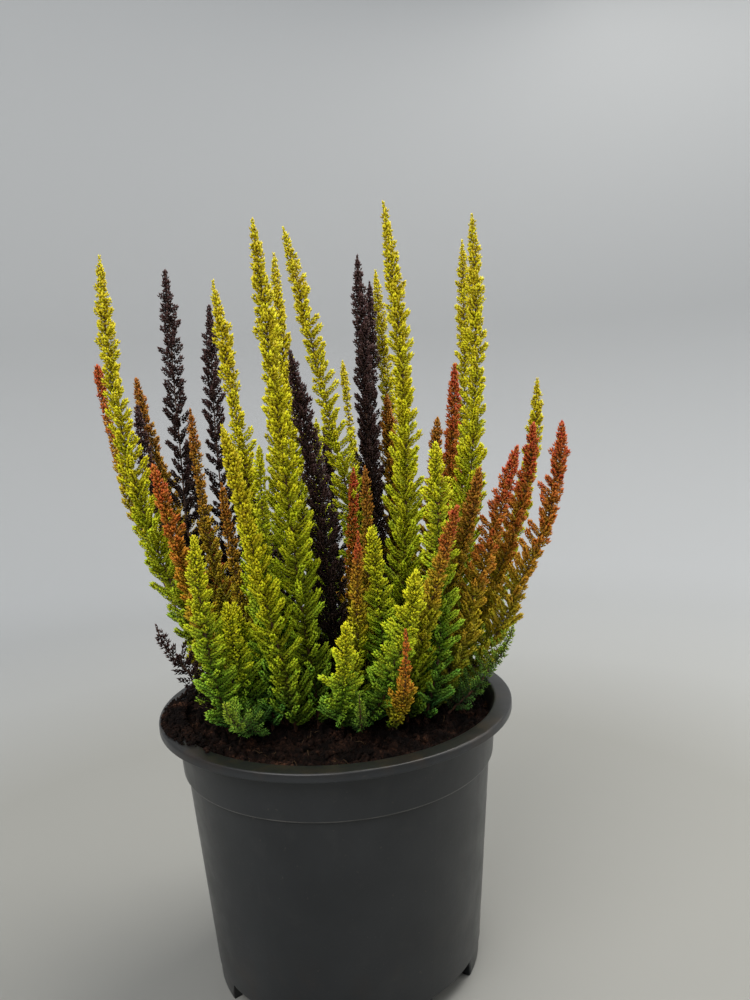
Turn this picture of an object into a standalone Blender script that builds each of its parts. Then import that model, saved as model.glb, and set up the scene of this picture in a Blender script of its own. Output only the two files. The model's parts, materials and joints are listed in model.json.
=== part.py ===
"""A potted heather: leafy shoots that rise from dark soil in a round plastic nursery pot.

Run it with: blender --background --python part.py
Metres, +Z up. The pot stands on the floor at z = 0 with its axis on the origin, and the
front of the plant faces -Y.
"""

import math
from collections import namedtuple

import bmesh
import bpy
import numpy as np
from mathutils import Matrix

MM = 0.001
OBJECT_NAME = "potted_heather"
GAP = 0.3 * MM

# The pot
RIM_RADIUS = 85.0 * MM
POT_HEIGHT = 128.0 * MM
LIP_DEPTH = 3.8 * MM
LIP_EDGE_ROUND = 0.8 * MM
WALL = 1.8 * MM
COLLAR_TOP_RADIUS = 77.2 * MM
COLLAR_BOTTOM_RADIUS = 75.3 * MM
COLLAR_HEIGHT = 25.0 * MM
WALL_TOP_RADIUS = 73.5 * MM
WALL_BOTTOM_RADIUS = 65.5 * MM
FOOT_HEIGHT = 8.5 * MM
FOOT_OUTER_RADIUS = 64.6 * MM
FOOT_WIDTH = 4.0 * MM
FOOT_COUNT = 4
FOOT_NOTCH_DEGREES = 26.0
DRAIN_RADIUS = 4.0 * MM
DRAIN_RING_RADIUS = 52.0 * MM
TURN_STEPS = 36
SHARP_DEGREES = 30.0
MERGE_DISTANCE = 0.05 * MM

# The soil
SOIL_TOP = 121.0 * MM
SOIL_BACK_RISE = 2.6 * MM
SOIL_LEFT_RISE = 3.0 * MM
SOIL_CROWN_RISE = 2.0 * MM
SOIL_CROWN_RADIUS = 45.0 * MM
SOIL_LUMP_HEIGHT = 0.7 * MM
SOIL_LUMP_SIZE = 4.0 * MM
SOIL_RINGS = 5

# The shoots
STEM_RADIUS = 1.0 * MM
STEM_IN_SOIL = 11.0 * MM
STEM_STRAIGHT = 1.8 * MM
STEM_BARE = 4.2 * MM
LEAF_SPACING = 7.2 * MM
LEAF_LIFT = 0.8
CORE_SHARE = 0.45
BASE_GROWTH = 0.4
SIDE_LENGTH = 18.0 * MM
SIDE_REACH = 7.5 * MM
SIDE_HALF_WIDTH = 1.9 * MM
SIDE_RINGS = 3
SIDE_LOWEST = 0.3
SIDE_HIGHEST = 0.72
SIDE_TURN = 1.2

# How the shoots are bent clear of each other
LEVEL_STEP = 4.0 * MM
LEAF_CLEARANCE = 1.0 * MM
BEND_ROUNDS = 240
BEND_SHARE = 0.3
EVENING_ROUNDS = 210
RIM_KEEP_OUT = 73.0 * MM
RIM_CLEAR_HEIGHT = 6.0 * MM

# Each row is one shoot: where its stem stands in the soil (x, y), where its tip reaches
# (x, y, height above the floor), how soon it turns upright (1 is a straight lean), how far its
# middle bows towards +X, its width across the leaves, and how many pairs of side shoots it
# carries. Millimetres.
Shoot = namedtuple("Shoot", "foot tip turn bow width pairs")
SHOOTS = {
    "gold": [
        ((-45, -3), (-96, -5, 342), 2.4, -1, 13, 0),
        ((-24, -10), (-43, -30, 324), 1.0, 0, 11, 0),
        ((-9, -24), (-22, -65, 340), 1.0, 0, 16, 3),
        ((-6, 15), (-19, 25, 348), 1.4, 0, 9, 0),
        ((-20, -25), (-38, -70, 262), 1.0, 0, 12, 0),
        ((28, 50), (14, 80, 298), 1.2, 0, 9, 0),
        ((25, -12), (32, -25, 356), 1.4, 8, 14, 2),
        ((47, -4), (74, -10, 354), 2.4, 1, 14, 2),
        ((58, 20), (113.8, 30, 280), 2.0, 0, 12, 1),
        ((-43, -21), (-53, -60, 219), 2.0, 0, 11, 0),
        ((-36, -17), (-43, -55, 190), 1.5, 0, 10, 0),
        ((-30, 48), (-25, 84, 330), 1.3, 0, 12, 0),
        ((-55, 34), (-95, 60, 250), 2.0, 0, 11, 0),
        ((38, 50), (50, 84, 318), 1.3, 0, 12, 0),
    ],
    "green": [
        ((26, 4), (-13, 0, 354), 1.0, 2, 11, 0),
        ((-31, -23), (-25, -52, 253), 1.0, 0, 9, 0),
        ((42, 36), (34, 60, 345), 1.0, 0, 8, 0),
        ((58, 32), (82, 56, 358), 2.2, 0, 10, 0),
        ((40, -20), (48, -42, 251), 2.0, 0, 12, 2),
        ((-25, -17), (-42, -35, 185), 1.5, 0, 10, 0),
        ((25, -20), (18, -42, 216), 1.2, 0, 12, 1),
        ((14, -25), (35, -62, 200), 1.7, 0, 12, 1),
        ((2, -27), (5, -74, 183), 1.5, 0, 10, 0),
        ((-4, 28), (-3, 50, 265), 1.3, 0, 11, 0),
        ((52, -17), (84, -25, 165), 1.5, 0, 10, 0),
        ((-37, -25), (-45, -70, 154), 1.6, 0, 8, 0),
        ((8, -29), (8, -70, 154), 1.6, 0, 8, 0),
        ((-24, 30), (-55, 70, 262), 1.5, 0, 11, 0),
    ],
    "dark": [
        ((-58, 18), (-74, 30, 342), 2.2, 0, 10, 4),
        ((-50, 24), (-55, 42, 326), 1.0, -3, 10, 4),
        ((1, -18), (-12, -45, 292), 1.0, 2, 13, 3),
        ((24, 20), (23, 35, 347), 1.0, 0, 12, 3),
        ((22, 33), (30, 50, 337), 1.2, 0, 11, 3),
        ((-52, 27), (-96, 44, 276), 1.8, 0, 8, 1),
        ((-17, -8), (-37, -20, 253), 1.4, 0, 10, 0),
        ((-42, -12), (-76, -35, 178), 1.5, 0, 8, 1),
        ((-52, 50), (-78, 78, 257), 1.4, 0, 10, 2),
        ((6, 54), (2, 82, 262), 1.2, 0, 10, 2),
    ],
    "red": [
        ((-52, 13), (-114.6, 44, 298), 1.6, 0, 10, 0),
        ((-46, 38), (-98, 54, 291), 1.5, 0, 9, 0),
        ((-49, -17), (-74, -30, 247), 1.1, 0, 9, 0),
        ((-45, 6), (-63, 10, 272), 1.6, 0, 8, 0),
        ((-32, -8), (-47, -15, 237), 1.4, 0, 9, 0),
        ((-40, 18), (-64, 30, 218), 1.3, 0, 8, 0),
        ((34, 28), (34, 45, 276), 1.4, 0, 9, 0),
        ((16, -12), (18, -28, 242), 1.6, 0, 9, 0),
        ((8, 2), (14, 0, 240), 1.2, 0, 9, 0),
        ((48, 38), (72, 38, 290), 1.5, 0, 9, 0),
        ((42, 22), (60, 28, 262), 1.2, 0, 9, 0),
        ((50, 14), (104.8, 8, 257), 1.7, 0, 10, 0),
        ((44, -12), (89, -20, 247), 1.1, 0, 10, 1),
        ((56, 2), (114, -8, 257), 1.7, 2, 11, 1),
        ((33, -7), (69, -30, 238), 1.3, 0, 9, 0),
        ((32, -21), (55, -50, 224), 1.0, 0, 8, 0),
        ((24, -27), (28, -70, 178), 1.8, 0, 7, 0),
        ((48, 48), (76, 78, 261), 1.6, 0, 10, 0),
        ((40, 34), (76, 60, 240), 1.6, 0, 9, 0),
        ((7, -21), (13, -48, 215), 1.2, 0, 9, 0),
    ],
}

COLOURS = {
    "gold": (0.42, 0.40, 0.05),
    "green": (0.16, 0.26, 0.05),
    "dark": (0.045, 0.022, 0.026),
    "red": (0.26, 0.075, 0.03),
}


def clear_scene():
    for obj in list(bpy.data.objects):
        bpy.data.objects.remove(obj, do_unlink=True)


def make_collection(name, hidden=False):
    collection = bpy.data.collections.new(name)
    bpy.context.scene.collection.children.link(collection)
    collection.hide_render = hidden
    return collection


def make_material(name, colour, roughness):
    material = bpy.data.materials.new(name)
    material.use_nodes = True
    shader = material.node_tree.nodes["Principled BSDF"]
    shader.inputs["Base Color"].default_value = (*colour, 1.0)
    shader.inputs["Roughness"].default_value = roughness
    shader.inputs["Metallic"].default_value = 0.0
    return material


def make_object(name, mesh, collection, material=None):
    obj = bpy.data.objects.new(name, mesh)
    collection.objects.link(obj)
    if material:
        mesh.materials.append(material)
    return obj


def make_cutter(name, mesh, collection):
    obj = make_object(name, mesh, collection)
    obj.hide_render = True
    obj.display_type = "WIRE"
    return obj


def applied(obj):
    """Replaces the object's mesh by what its modifiers make of it."""
    graph = bpy.context.evaluated_depsgraph_get()
    mesh = bpy.data.meshes.new_from_object(obj.evaluated_get(graph))
    obj.modifiers.clear()
    obj.data = mesh
    return obj


def turned(name, profile, collection, material):
    """Turns a profile of (radius, height) points round the Z axis."""
    mesh = bpy.data.meshes.new(name)
    edges = [(i, i + 1) for i in range(len(profile) - 1)]
    mesh.from_pydata([(r, 0.0, z) for r, z in profile], edges, [])
    obj = make_object(name, mesh, collection, material)
    screw = obj.modifiers.new("turn", "SCREW")
    screw.axis = "Z"
    screw.steps = TURN_STEPS
    screw.render_steps = TURN_STEPS
    screw.use_merge_vertices = True
    screw.merge_threshold = MERGE_DISTANCE
    applied(obj)
    obj.data.shade_smooth()
    obj.data.set_sharp_from_angle(angle=math.radians(SHARP_DEGREES))
    return obj


def cut(obj, cutter):
    boolean = obj.modifiers.new("cut_" + cutter.name, "BOOLEAN")
    boolean.operation = "DIFFERENCE"
    boolean.object = cutter
    boolean.solver = "EXACT"


def inner_wall():
    """Radius and height of the pot's inside at the floor, the wall's top and the collar."""
    collar_foot = POT_HEIGHT - COLLAR_HEIGHT
    return [
        (FOOT_OUTER_RADIUS - WALL, FOOT_HEIGHT + WALL),
        (WALL_TOP_RADIUS - WALL, collar_foot),
        (COLLAR_BOTTOM_RADIUS - WALL, collar_foot + WALL),
        (COLLAR_TOP_RADIUS - WALL, POT_HEIGHT - LIP_DEPTH),
    ]


def make_pot(parts, cutters):
    collar_foot = POT_HEIGHT - COLLAR_HEIGHT
    skirt_inner = RIM_RADIUS - WALL
    profile = [(0.0, FOOT_HEIGHT + WALL)]
    profile += inner_wall()
    profile += [
        (COLLAR_TOP_RADIUS, POT_HEIGHT),
        (RIM_RADIUS - LIP_EDGE_ROUND, POT_HEIGHT),
        (RIM_RADIUS, POT_HEIGHT - LIP_EDGE_ROUND),
        (RIM_RADIUS, POT_HEIGHT - LIP_DEPTH),
        (skirt_inner, POT_HEIGHT - LIP_DEPTH),
        (skirt_inner, POT_HEIGHT - WALL),
        (COLLAR_TOP_RADIUS, POT_HEIGHT - WALL),
        (COLLAR_BOTTOM_RADIUS, collar_foot),
        (WALL_TOP_RADIUS, collar_foot - GAP),
        (WALL_BOTTOM_RADIUS, FOOT_HEIGHT),
        (FOOT_OUTER_RADIUS, FOOT_HEIGHT),
        (FOOT_OUTER_RADIUS, 0.0),
        (FOOT_OUTER_RADIUS - FOOT_WIDTH, 0.0),
        (FOOT_OUTER_RADIUS - FOOT_WIDTH, FOOT_HEIGHT),
        (0.0, FOOT_HEIGHT),
    ]
    material = make_material("pot_plastic", (0.034, 0.036, 0.038), 0.42)
    pot = turned("pot", profile, parts, material)
    notch_width = 2 * FOOT_OUTER_RADIUS * math.sin(math.radians(FOOT_NOTCH_DEGREES / 2))
    mesh = bpy.data.meshes.new("foot_and_drain_cutters")
    shape = bmesh.new()
    for i in range(FOOT_COUNT):
        turn = Matrix.Rotation(math.tau * (i + 0.5) / FOOT_COUNT, 4, "Z")
        size = Matrix.Diagonal((2 * FOOT_WIDTH, notch_width, 2 * (FOOT_HEIGHT - GAP), 1.0))
        place = Matrix.Translation((FOOT_OUTER_RADIUS - FOOT_WIDTH / 2, 0.0, 0.0))
        bmesh.ops.create_cube(shape, size=1.0, matrix=turn @ place @ size)
        place = Matrix.Translation((DRAIN_RING_RADIUS, 0.0, FOOT_HEIGHT + WALL / 2))
        bmesh.ops.create_cone(
            shape,
            cap_ends=True,
            segments=8,
            radius1=DRAIN_RADIUS,
            radius2=DRAIN_RADIUS,
            depth=4 * WALL,
            matrix=turn @ place,
        )
    shape.to_mesh(mesh)
    shape.free()
    cut(pot, make_cutter("foot_and_drain_cutters", mesh, cutters))
    return pot


def soil_height(x, y):
    """Height of the soil at a place.

    A low bell-shaped mound at the crown, an even rise to the back and to the left, and lumps
    that are the product of sine waves along two pairs of directions.
    """
    crown = SOIL_CROWN_RISE * np.exp(-(x**2 + y**2) / SOIL_CROWN_RADIUS**2)
    slope = (SOIL_BACK_RISE * y - SOIL_LEFT_RISE * x) / RIM_RADIUS
    across, back = x / SOIL_LUMP_SIZE, y / SOIL_LUMP_SIZE
    lumps = np.sin(across + 1.3) * np.sin(1.1 * back + 0.4)
    lumps = lumps + 0.6 * np.sin(0.6 * (across + back)) * np.sin(0.4 * across - 0.8 * back + 2.0)
    return SOIL_TOP + crown + slope + SOIL_LUMP_HEIGHT * lumps


def make_soil(parts, cutters, feet):
    wall = [(r - GAP, z) for r, z in inner_wall()]
    bottom = (wall[0][0], wall[0][1] + GAP)
    edge_radius = wall[3][0] - 2 * GAP
    top = [(edge_radius * i / SOIL_RINGS, SOIL_TOP) for i in range(SOIL_RINGS + 1)]
    profile = top + [wall[2], wall[1], bottom, (0.0, bottom[1])]
    material = make_material("soil", (0.018, 0.013, 0.010), 0.95)
    soil = turned("soil", profile, parts, material)
    for vertex in soil.data.vertices:
        if vertex.co.z > SOIL_TOP - GAP:
            vertex.co.z = soil_height(vertex.co.x, vertex.co.y)
    hole_radius = STEM_RADIUS + math.sqrt(2) * GAP
    mesh = bpy.data.meshes.new("stem_holes")
    shape = bmesh.new()
    for x, y in feet:
        place = Matrix.Translation((x, y, soil_height(x, y)))
        bmesh.ops.create_cone(
            shape,
            cap_ends=True,
            segments=4,
            radius1=hole_radius,
            radius2=hole_radius,
            depth=2 * STEM_IN_SOIL,
            matrix=place,
        )
    shape.to_mesh(mesh)
    shape.free()
    cut(soil, make_cutter("stem_holes", mesh, cutters))
    return soil


def width_along(share):
    """Leaf width as a share of the full one: fullest a quarter of the way up, slim at the tip."""
    return np.interp(share, [0.0, 0.25, 0.5, 0.75, 0.97, 1.0], [0.85, 1.0, 0.78, 0.52, 0.32, 0.18])


def half_widths(shoot, share, above_soil):
    """Half the leaf width along a shoot, which starts at the bare stem and grows with height."""
    full = 0.5 * MM * shoot.width * width_along(share)
    return np.minimum(full, STEM_RADIUS + BASE_GROWTH * above_soil)


def planned_line(shoot, levels):
    """A stem's middle line on level planes, and the room that its leaves take there.

    The way from foot to tip is covered by the share 1 - (1 - height share) ** turn, so that a
    high turn leans out low down and then stands upright. The bow adds half a sine wave.
    """
    tip_height = shoot.tip[2] * MM
    share = np.clip((levels - SOIL_TOP) / (tip_height - SOIL_TOP), 0.0, 1.0)
    reach = 1.0 - (1.0 - share) ** shoot.turn
    foot, tip = np.array(shoot.foot), np.array(shoot.tip[:2])
    line = MM * (foot + np.outer(reach, tip - foot))
    line[:, 0] += MM * shoot.bow * np.sin(math.pi * share)
    slope = np.linalg.norm(np.gradient(line, levels, axis=0), axis=1)
    room = half_widths(shoot, share, levels - SOIL_TOP) * np.sqrt(1.0 + slope**2)
    if shoot.pairs:
        sides = (share > SIDE_LOWEST - 0.05) & (share < SIDE_HIGHEST + 0.08)
        room = np.where(sides, np.maximum(room, SIDE_REACH), room)
    return line, np.where(levels <= tip_height + LEVEL_STEP, room, 0.0)


def bent_clear(points, room, levels):
    """Pushes neighbouring stems apart on each level plane, and evens out the bends this makes."""
    planned = points.copy()
    near_rim = levels < POT_HEIGHT + RIM_CLEAR_HEIGHT
    limit = np.where(near_rim, RIM_KEEP_OUT - room, np.inf)
    both = (room[:, None] > 0) & (room[None] > 0)
    both &= ~np.eye(len(points), dtype=bool)[:, :, None]
    for turn in range(BEND_ROUNDS):
        apart = points[:, None] - points[None]
        distance = np.linalg.norm(apart, axis=3) + MERGE_DISTANCE
        short = room[:, None] + room[None] + LEAF_CLEARANCE - distance
        short = np.where(both, np.clip(short, 0.0, None), 0.0)
        push = (apart / distance[..., None] * short[..., None]).sum(axis=1)
        points = points + BEND_SHARE * push
        if turn < EVENING_ROUNDS:
            moved = points - planned
            moved[:, 1:-1] = 0.5 * moved[:, 1:-1] + 0.25 * (moved[:, :-2] + moved[:, 2:])
            points = planned + moved
        radius = np.linalg.norm(points, axis=2) + MERGE_DISTANCE
        points = points * np.minimum(1.0, limit / radius)[..., None]
    print(f"most that two shoots' leaves still share: {short.max() / MM:.2f} mm")
    return points


def frames_along(points):
    """Unit tangents of a route and two directions square to each, the first near +X."""
    tangents = np.gradient(points, axis=0)
    tangents /= np.linalg.norm(tangents, axis=1)[:, None]
    across = np.array([1.0, 0.0, 0.0]) - tangents * tangents[:, :1]
    across /= np.linalg.norm(across, axis=1)[:, None]
    return tangents, across, np.cross(tangents, across)


def leafy_tube(name, route, radii, lifts):
    """A closed four-sided tube whose corners stand out in turn as pairs of leaf tips.

    Ring k has corners 0 and 2 out when k is even and corners 1 and 3 when it is odd. An out
    corner lies at the leaf width and is lifted along the stem, and the others lie on the core.
    """
    tangents, across, beside = frames_along(route)
    rings = len(route) - 1
    turn = np.arange(4) * math.tau / 4
    spread = across[:, None] * np.cos(turn)[:, None] + beside[:, None] * np.sin(turn)[:, None]
    out = (np.arange(4) + np.arange(rings)[:, None]) % 2 == 0
    core = np.minimum(radii, np.maximum(STEM_RADIUS * 0.8, CORE_SHARE * radii))
    reach = np.where(out, radii[:rings, None], core[:rings, None])
    lift = np.where(out, lifts[:rings, None], 0.0)
    corners = route[:rings, None] + spread[:rings] * reach[..., None]
    corners = corners + tangents[:rings, None] * lift[..., None]
    vertices = np.concatenate([corners.reshape(-1, 3), route[-1:]])
    faces = [(3, 2, 1, 0)]
    for k in range(rings - 1):
        for j in range(4):
            low, low_next = 4 * k + j, 4 * k + (j + 1) % 4
            high, high_next = low + 4, low_next + 4
            if out[k, j]:
                faces += [(low, low_next, high), (low_next, high_next, high)]
            else:
                faces += [(low, low_next, high_next), (low, high_next, high)]
    last = 4 * (rings - 1)
    faces += [(last + j, last + (j + 1) % 4, 4 * rings) for j in range(4)]
    mesh = bpy.data.meshes.new(name)
    mesh.from_pydata(vertices.tolist(), [], faces)
    return mesh


def resampled(points, spacing, start):
    """Points at an even spacing along a polyline, from a given height up to its tip."""
    steps = np.linalg.norm(np.diff(points, axis=0), axis=1)
    along = np.concatenate([[0.0], np.cumsum(steps)])
    first = np.interp(start, points[:, 2], along)
    count = max(3, int(round((along[-1] - first) / spacing)) + 1)
    wanted = np.linspace(first, along[-1], count)
    return np.stack([np.interp(wanted, along, points[:, i]) for i in range(3)], axis=1)


def main_route(shoot, line, levels):
    """The stem's route: straight up out of its hole, then along its bent line to the tip."""
    foot = line[0]
    soil = float(soil_height(foot[0], foot[1]))
    tip_height = shoot.tip[2] * MM
    fine = np.linspace(SOIL_TOP, tip_height, 80)
    heights = np.interp(fine, [SOIL_TOP, tip_height], [soil, tip_height])
    bent = np.stack([np.interp(fine, levels, line[:, i]) for i in (0, 1)] + [heights], axis=1)
    leafy = resampled(bent, LEAF_SPACING, soil + STEM_BARE)
    stem = [(*foot, soil - STEM_IN_SOIL + GAP), (*foot, soil + STEM_STRAIGHT)]
    return np.concatenate([stem, leafy]), soil


def side_route(start, up, azimuth):
    """A side shoot's route: out of the stem's middle, turning up to run beside the stem."""
    share = np.linspace(0.0, 1.0, SIDE_RINGS + 1)[:, None]
    outward = np.array([math.cos(azimuth), math.sin(azimuth), 0.0])
    outward -= up * (outward @ up)
    outward /= np.linalg.norm(outward)
    offset = SIDE_REACH - 1.2 * SIDE_HALF_WIDTH
    return start + outward * offset * (1.0 - (1.0 - share) ** 1.6) + up * SIDE_LENGTH * share


def joined(main, sides, helper):
    """Fuses the side shoots to the main one by one union, and removes their objects."""
    union = main.modifiers.new("side_shoots", "BOOLEAN")
    union.operation = "UNION"
    union.operand_type = "COLLECTION"
    union.collection = helper
    union.solver = "EXACT"
    applied(main)
    for side in sides:
        bpy.data.objects.remove(side, do_unlink=True)
    bpy.data.collections.remove(helper)


def add_side_shoots(main, shoot, route, share):
    """Opposite pairs of side shoots, each pair turned on from the one below."""
    helper = bpy.data.collections.new(main.name + "_sides")
    sides = []
    tangents = frames_along(route)[0]
    thin = SIDE_HALF_WIDTH * np.linspace(1.0, 0.5, SIDE_RINGS + 1)
    lifts = np.full(SIDE_RINGS + 1, LEAF_LIFT * SIDE_LENGTH / SIDE_RINGS)
    lifts[0] = 0.0
    for i, height in enumerate(np.linspace(SIDE_LOWEST, SIDE_HIGHEST, shoot.pairs)):
        ring = int(np.argmin(np.abs(share - height)))
        for azimuth in (SIDE_TURN * i, SIDE_TURN * i + math.pi):
            path = side_route(route[ring], tangents[ring], azimuth)
            mesh = leafy_tube(f"{main.name}_side_{len(sides)}", path, thin, lifts)
            sides.append(make_object(mesh.name, mesh, helper))
    joined(main, sides, helper)


def make_shoot(name, shoot, line, levels, parts, material):
    route, soil = main_route(shoot, line, levels)
    share = np.clip((route[:, 2] - soil) / (route[-1, 2] - soil), 0.0, 1.0)
    above_bare = np.clip(route[:, 2] - soil - STEM_BARE, 0.0, None)
    radii = half_widths(shoot, share, above_bare)
    radii[:2] = STEM_RADIUS
    lifts = np.full(len(route), LEAF_LIFT * LEAF_SPACING)
    lifts[:3] = 0.0
    lifts[-2] *= 0.5
    main = make_object(name, leafy_tube(name, route, radii, lifts), parts, material)
    if shoot.pairs:
        add_side_shoots(main, shoot, route, share)
    return main


def main():
    clear_scene()
    parts = make_collection(OBJECT_NAME)
    cutters = make_collection("cutters", hidden=True)
    planting = [(kind, Shoot(*row)) for kind, rows in SHOOTS.items() for row in rows]
    tallest = max(shoot.tip[2] for _, shoot in planting) * MM
    levels = np.arange(SOIL_TOP, tallest + LEVEL_STEP, LEVEL_STEP)
    planned = [planned_line(shoot, levels) for _, shoot in planting]
    room = np.array([room for _, room in planned])
    lines = bent_clear(np.array([line for line, _ in planned]), room, levels)
    make_pot(parts, cutters)
    make_soil(parts, cutters, lines[:, 0])
    materials = {kind: make_material(kind + "_leaves", c, 0.7) for kind, c in COLOURS.items()}
    counts = dict.fromkeys(SHOOTS, 0)
    for (kind, shoot), line in zip(planting, lines):
        counts[kind] += 1
        name = f"shoot_{kind}_{counts[kind]:02d}"
        make_shoot(name, shoot, line, levels, parts, materials[kind])


main()
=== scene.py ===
# %% [markdown]
# # A potted heather, dressed for its picture
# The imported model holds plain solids: a round nursery pot, the soil, and 58 leafy shoots. Each
# gets a finer piece in the same place: a smooth pot with dust and mud on it, crumbly dark soil, and
# shoots with their own sprigs and leaves. Lengths are metres, +Z is up, and the front faces -Y.

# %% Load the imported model
import json
from collections import Counter, namedtuple
from itertools import combinations
from math import ceil, cos, hypot, pi, radians, sin, sqrt, tau

import bpy
import numpy as np
from mathutils import Matrix

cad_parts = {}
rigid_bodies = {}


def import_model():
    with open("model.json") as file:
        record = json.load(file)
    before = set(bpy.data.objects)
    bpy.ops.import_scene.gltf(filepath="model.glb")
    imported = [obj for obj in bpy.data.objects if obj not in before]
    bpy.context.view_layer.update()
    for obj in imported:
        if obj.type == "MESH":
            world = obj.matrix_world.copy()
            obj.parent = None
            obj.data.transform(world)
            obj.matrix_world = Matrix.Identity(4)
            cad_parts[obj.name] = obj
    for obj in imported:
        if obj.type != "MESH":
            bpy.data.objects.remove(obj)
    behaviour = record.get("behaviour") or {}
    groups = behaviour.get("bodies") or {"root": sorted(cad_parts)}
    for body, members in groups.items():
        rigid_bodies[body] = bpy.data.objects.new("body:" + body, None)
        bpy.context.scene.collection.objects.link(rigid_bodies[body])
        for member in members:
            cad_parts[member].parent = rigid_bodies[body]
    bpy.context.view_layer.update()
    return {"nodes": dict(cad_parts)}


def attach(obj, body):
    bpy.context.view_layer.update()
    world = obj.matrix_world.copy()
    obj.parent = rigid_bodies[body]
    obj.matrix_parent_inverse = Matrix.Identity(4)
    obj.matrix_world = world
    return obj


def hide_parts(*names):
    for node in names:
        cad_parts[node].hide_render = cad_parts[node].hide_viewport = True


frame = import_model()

MM = 0.001
shoot_nodes = sorted(name for name in frame["nodes"] if name.startswith("shoot_"))

# %% [markdown]
# ## Directions
# Every shape here is worked out as whole arrays, so a few helpers for arrays of directions, each
# of length one, come first.

# %% Helpers for directions
X_WAY = np.array([1.0, 0.0, 0.0])
SKY = np.array([0.0, 0.0, 1.0])


def unit(vectors):
    """The vectors, each divided by its own length."""
    return vectors / np.linalg.norm(vectors, axis=-1, keepdims=True)


def turned(first, second, angle):
    """First times the angle's cosine plus second times its sine."""
    return first * np.cos(angle)[..., None] + second * np.sin(angle)[..., None]


def square_to(ways):
    """Square to each way: +X less the part of it that lies along the way."""
    return unit(X_WAY - ways * ways[:, :1])


def around(radius, height, angle):
    """Points round the axis: radius times cosine, radius times sine, and the height."""
    radius, height, angle = np.broadcast_arrays(radius, height, angle)
    return np.stack([radius * np.cos(angle), radius * np.sin(angle), height], axis=-1)


def even_angles(count):
    """A count of angles that share one turn evenly."""
    return np.linspace(0, tau, count, endpoint=False)


print("a quarter turn from +X:", around(1, 0, even_angles(4)[1]).round(3))

# %% [markdown]
# ## The camera
# The picture was taken a little above the rim, looking slightly down and a few degrees to the
# right, with the camera held a little askew. The place and the three angles come from fitting the
# rim's ellipse, the collar and the feet.

# %% Camera
CAMERA_PLACE = (0, -0.36106, 0.25814)
CAMERA_YAW = radians(3.739)
CAMERA_PITCH = radians(5.426)
CAMERA_ROLL = radians(2.872)
CAMERA_LENS = 27


def set_in_scene(obj, *columns):
    """Puts a camera or lamp in the scene by its ways right, up and back, and its place."""
    matrix = np.eye(4)
    matrix[:3] = np.column_stack(columns)
    obj.matrix_world = Matrix(matrix.tolist())
    bpy.context.scene.collection.objects.link(obj)


def camera_axes():
    """Right, up and back: forward comes from yaw and pitch, and the roll turns the others."""
    ahead, aside = cos(CAMERA_YAW), sin(CAMERA_YAW)
    level, down = cos(CAMERA_PITCH), sin(CAMERA_PITCH)
    forward = np.array([aside * level, ahead * level, -down])
    side = np.array([ahead, -aside, 0])
    upright = np.cross(side, forward)
    roll = np.array(CAMERA_ROLL)
    return turned(side, -upright, roll), turned(upright, side, roll), -forward


camera = bpy.data.objects.new("camera", bpy.data.cameras.new("camera"))
camera.data.lens = CAMERA_LENS
camera.data.clip_start = 10 * MM
set_in_scene(camera, *camera_axes(), CAMERA_PLACE)
bpy.context.scene.camera = camera
print("camera at", CAMERA_PLACE)

# %% [markdown]
# ## Meshes from numpy
# A new piece is its points, the corners of all faces in one list, how many corners each face
# has, and a flat map: where each corner lies on a unit square, for baked colours. Two builders are
# enough: a grid of points that closes round, and a small shape set down many times.

# %% A record for surfaces
Surface = namedtuple("Surface", "points corners sizes flat")


def starts_of(counts):
    """Where each group starts in a long list: the sum of the counts before it."""
    return np.cumsum(counts) - counts


def joined(surfaces, count_on=True):
    """One surface of several. Corners count on, unless they number all the points already."""
    points, corners, sizes, flat = zip(*surfaces)
    starts = starts_of([len(p) for p in points]) * count_on
    corners = [c + start for c, start in zip(corners, starts)]
    return Surface(*(np.concatenate(parts) for parts in (points, corners, sizes, flat)))


def on_strips(surfaces, edges):
    """One surface of several, each with its flat map in its own strip of the square."""
    spans = zip(surfaces, edges, edges[1:])
    return joined([s._replace(flat=s.flat * [1, high - low] + [0, low]) for s, low, high in spans])


def volume_of(surface):
    """Signed volume: the sum over fan triangles of a . (b x c) / 6, positive if faces look out."""
    first = starts_of(surface.sizes)
    total = 0.0
    for k in range(1, surface.sizes.max() - 1):
        faces = first[surface.sizes > k + 1]
        a, b, c = (surface.points[surface.corners[faces + i]] for i in (0, k, k + 1))
        total += np.einsum("ij,ij->", a, np.cross(b, c)) / 6
    return total


def outward(surface):
    """The surface with every face turned round if its volume comes out negative."""
    if volume_of(surface) > 0:
        return surface
    first, size = (np.repeat(v, surface.sizes) for v in (starts_of(surface.sizes), surface.sizes))
    swapped = 2 * first + size - 1 - np.arange(len(surface.corners))
    return surface._replace(corners=surface.corners[swapped], flat=surface.flat[swapped])


print("a surface keeps", Surface._fields)


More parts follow.
